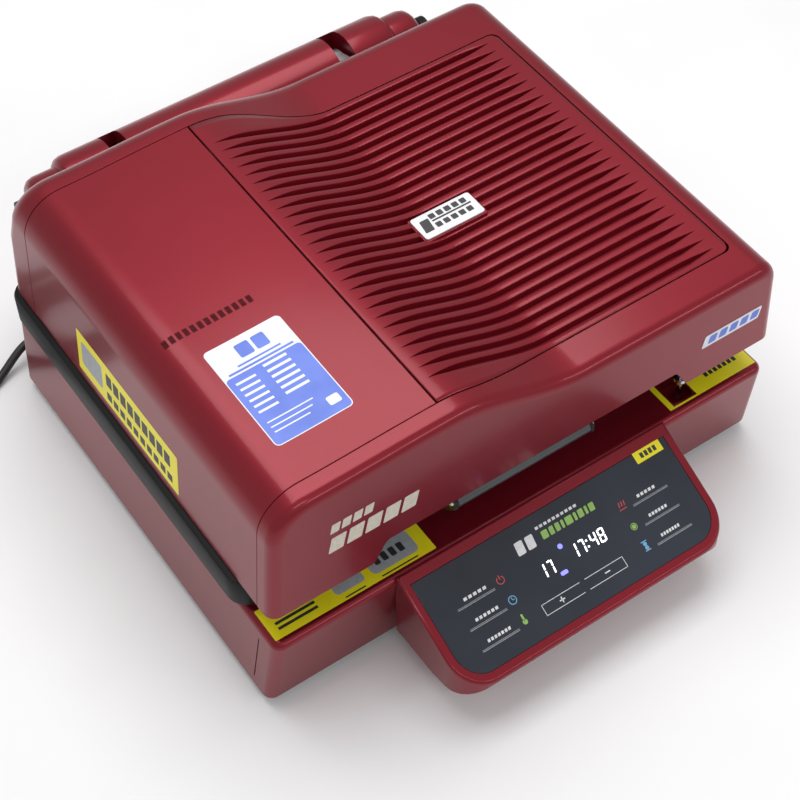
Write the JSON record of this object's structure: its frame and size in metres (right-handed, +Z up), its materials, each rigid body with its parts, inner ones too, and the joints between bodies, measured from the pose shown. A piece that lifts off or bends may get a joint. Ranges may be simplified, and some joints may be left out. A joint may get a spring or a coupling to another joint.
{
  "type": "vacuum sublimation heat press",
  "caption": "Clamshell vacuum heat press: hinged oven lid over a silicone membrane frame and a flat bed, with a sloping touch console in front.",
  "frame": {"origin": "on the table, in the middle of the machine's footprint without its mains lead", "axes": "+X to the machine's right, +Y to its back, +Z up; the console faces -Y"},
  "size_m": [0.7595, 0.7618, 0.311],
  "materials": {
    "wine_shell": "glossy wine-red lacquer",
    "black_steel": "satin black powder coat",
    "steel": "plain sheet steel",
    "chrome": "polished",
    "aluminium": "satin",
    "rubber": "matt black",
    "silicone": "translucent red-orange silicone sheet",
    "dark_glass": "black back-printed touch glass",
    "circuit_board": "green circuit board",
    "black_plastic": "moulded black",
    "red_plastic": "moulded red",
    "wool_blanket": "mineral wool blanket",
    "quartz": "frosted quartz tube",
    "badge_white": "white badge plate"
  },
  "bodies": {
    "base": {"base_shell": "wine_shell", "base_plate": "steel", "foot_front_left": "rubber", "foot_front_right": "rubber", "foot_rear_left": "rubber", "foot_rear_right": "rubber", "platen": "aluminium", "bed_seal": "rubber", "console_shell": "wine_shell", "touch_panel": "dark_glass", "display_board": "circuit_board", "rear_housing": "wine_shell", "rear_floor_plate": "steel", "hinge_bracket_left": "steel", "hinge_pin_left": "chrome", "hinge_spring_left": "steel", "hinge_bracket_right": "steel", "hinge_pin_right": "chrome", "hinge_spring_right": "steel", "vacuum_pump": "aluminium", "pump_motor": "black_steel", "vacuum_valve": "steel", "vacuum_hose": "rubber", "transformer": "black_steel", "power_board": "circuit_board", "solid_state_relay": "black_plastic", "lid_microswitch": "black_plastic", "rear_fan_frame": "black_plastic", "switch_frame": "black_plastic", "cord_strain_relief": "rubber", "power_cord": "rubber", "power_cord_coil": "rubber", "power_plug": "black_plastic"},
    "lid": {"lid_shell": "wine_shell", "lid_left_cover": "wine_shell", "lid_ribbed_cover": "wine_shell", "lid_badge": "badge_white", "lid_bottom_frame": "black_steel", "heating_chamber": "steel", "lid_insulation": "wool_blanket", "heater_tube_1": "quartz", "heater_tube_2": "quartz", "heater_tube_3": "quartz", "heater_tube_4": "quartz", "temperature_probe": "chrome", "heater_guard": "steel", "lid_fan_motor": "black_plastic", "lid_locating_pin": "chrome", "lid_hinge_arm_left": "steel", "lid_hinge_arm_right": "steel"},
    "membrane_frame": {"membrane_frame": "black_steel", "silicone_membrane": "silicone", "membrane_clamp": "steel", "membrane_handle": "aluminium", "handle_bracket_left": "black_steel", "handle_bracket_right": "black_steel"},
    "lid_fan": {"lid_fan_rotor": "aluminium"},
    "rear_fan": {"rear_fan_rotor": "black_plastic"},
    "main_switch": {"main_switch_rocker": "red_plastic"}
  },
  "joints": [
    {"name": "lid_hinge", "type": "hinge", "parent": "base", "child": "lid", "pos_m": [0, 0.306, 0.2], "axis": [-1, 0, 0], "range_deg": [0, 70]},
    {"name": "frame_hinge", "type": "hinge", "parent": "base", "child": "membrane_frame", "pos_m": [0, 0.306, 0.2], "axis": [-1, 0, 0], "range_deg": [0, 35]},
    {"name": "lid_fan_spin", "type": "hinge", "parent": "lid", "child": "lid_fan", "pos_m": [-0.15, 0.02, 0.236], "axis": [0, 0, 1], "continuous": true},
    {"name": "rear_fan_spin", "type": "hinge", "parent": "base", "child": "rear_fan", "pos_m": [0.06, 0.33, 0.076], "axis": [0, 1, 0], "continuous": true},
    {"name": "switch_rock", "type": "hinge", "parent": "base", "child": "main_switch", "pos_m": [-0.262, 0.273, 0.072], "axis": [1, 0, 0], "range_deg": [0, 16]}
  ],
  "couplings": [
    {"joint": "frame_hinge", "follows": "lid_hinge", "ratio": 0.5}
  ]
}
